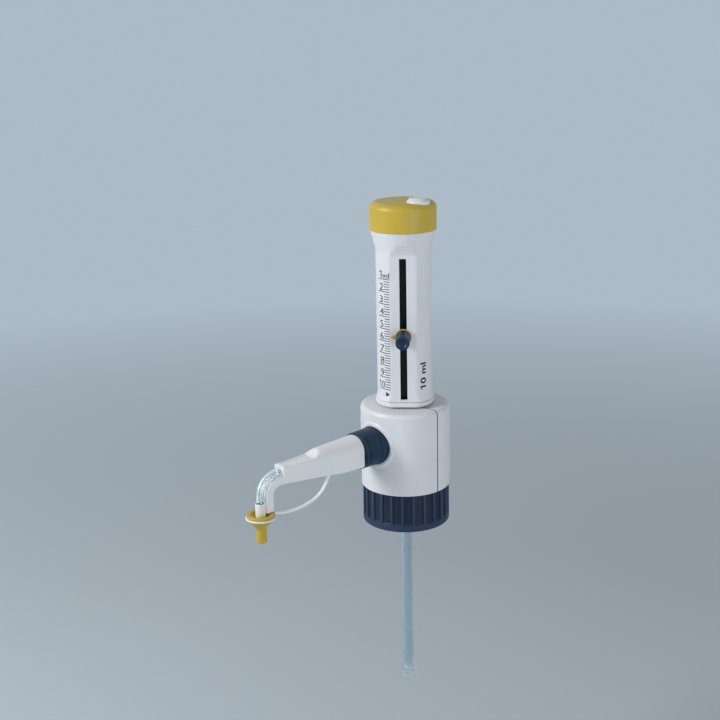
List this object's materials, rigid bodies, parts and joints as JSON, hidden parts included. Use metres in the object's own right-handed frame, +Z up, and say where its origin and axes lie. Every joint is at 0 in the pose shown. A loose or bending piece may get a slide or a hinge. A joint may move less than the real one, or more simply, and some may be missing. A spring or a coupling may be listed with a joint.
{
  "type": "bottle top dispenser",
  "caption": "Hand pump for a reagent bottle: ribbed screw nut, round housing, lift handle with a slotted volume scale and clamping pointer, and a side spout with a tethered tip cap.",
  "frame": {"origin": "centre of the bottle nut's lower rim", "axes": "+Z up along the pump axis, -X out along the spout, the scale faces about midway between -X and -Y"},
  "size_m": [0.1571, 0.0566, 0.3229],
  "materials": {
    "white_plastic": "satin moulded polypropylene",
    "navy_plastic": "satin moulded, dark navy",
    "yellow_plastic": "satin moulded, mustard yellow",
    "black_plastic": "matte moulded",
    "milky_plastic": "natural fluoropolymer",
    "clear_plastic": "clear extruded tube",
    "clear_glass": "borosilicate, polished",
    "ceramic": "lapped",
    "steel": "ground",
    "seal_grey": "moulded"
  },
  "bodies": {
    "nut": {"bottle_nut": "navy_plastic"},
    "head": {"valve_block": "milky_plastic", "neck_gasket": "seal_grey", "housing_front": "white_plastic", "housing_rear": "white_plastic", "inlet_valve_seat": "milky_plastic", "glass_cylinder": "clear_glass", "cylinder_seal": "seal_grey", "guide_sleeve": "black_plastic", "rod_bush": "milky_plastic", "port_seal": "seal_grey", "discharge_valve_body": "milky_plastic", "discharge_spring": "steel", "spring_retainer": "milky_plastic", "spout_body": "white_plastic", "discharge_tube": "clear_plastic", "cap_strap": "white_plastic", "filling_tube_upper": "clear_plastic"},
    "handle": {"handle_tube": "white_plastic", "guide_ring": "white_plastic", "rod_carrier": "black_plastic", "calibration_nut": "steel", "top_cap": "yellow_plastic", "calibration_cover": "white_plastic", "piston": "milky_plastic", "piston_rod": "steel"},
    "slider": {"stop_slider": "black_plastic", "pointer_washer": "yellow_plastic"},
    "knob": {"slider_knob": "navy_plastic"},
    "union_nut": {"union_nut": "navy_plastic"},
    "tip_cap": {"tip_cap": "yellow_plastic"},
    "filling_tube": {"filling_tube_lower": "clear_plastic"},
    "inlet_ball": {"inlet_ball": "ceramic"},
    "discharge_ball": {"discharge_ball": "ceramic"}
  },
  "joints": [
    {"name": "head_swivel", "type": "hinge", "parent": "nut", "child": "head", "pos_m": [0, 0, 0.02], "axis": [0, 0, 1], "continuous": true},
    {"name": "handle_stroke", "type": "slide", "parent": "head", "child": "handle", "axis": [0, 0, 1], "range_m": [0, 0.07771]},
    {"name": "volume_slide", "type": "slide", "parent": "handle", "child": "slider", "axis": [0, 0, 1], "range_m": [-0.03419, 0.03575]},
    {"name": "knob_turn", "type": "hinge", "parent": "slider", "child": "knob", "pos_m": [-0.01316, -0.01228, 0.12449], "axis": [-0.7314, -0.682, 0], "range_deg": [0, 180]},
    {"name": "union_nut_turn", "type": "hinge", "parent": "head", "child": "union_nut", "pos_m": [-0.036, 0, 0.0561], "axis": [-1, 0, 0], "continuous": true},
    {"name": "tip_cap_pull", "type": "slide", "parent": "head", "child": "tip_cap", "axis": [0, 0, -1], "range_m": [0, 0.018], "deforming": ["cap_strap"]},
    {"name": "filling_tube_extend", "type": "slide", "parent": "head", "child": "filling_tube", "axis": [0, 0, -1], "range_m": [0, 0.1]},
    {"name": "inlet_ball_lift", "type": "slide", "parent": "head", "child": "inlet_ball", "axis": [0, 0, 1], "range_m": [0, 0.0015]},
    {"name": "discharge_ball_lift", "type": "slide", "parent": "head", "child": "discharge_ball", "axis": [-1, 0, 0], "range_m": [0, 0.0015], "stiffness_N_per_m": 20, "springref_m": -0.002, "deforming": ["discharge_spring"]}
  ]
}
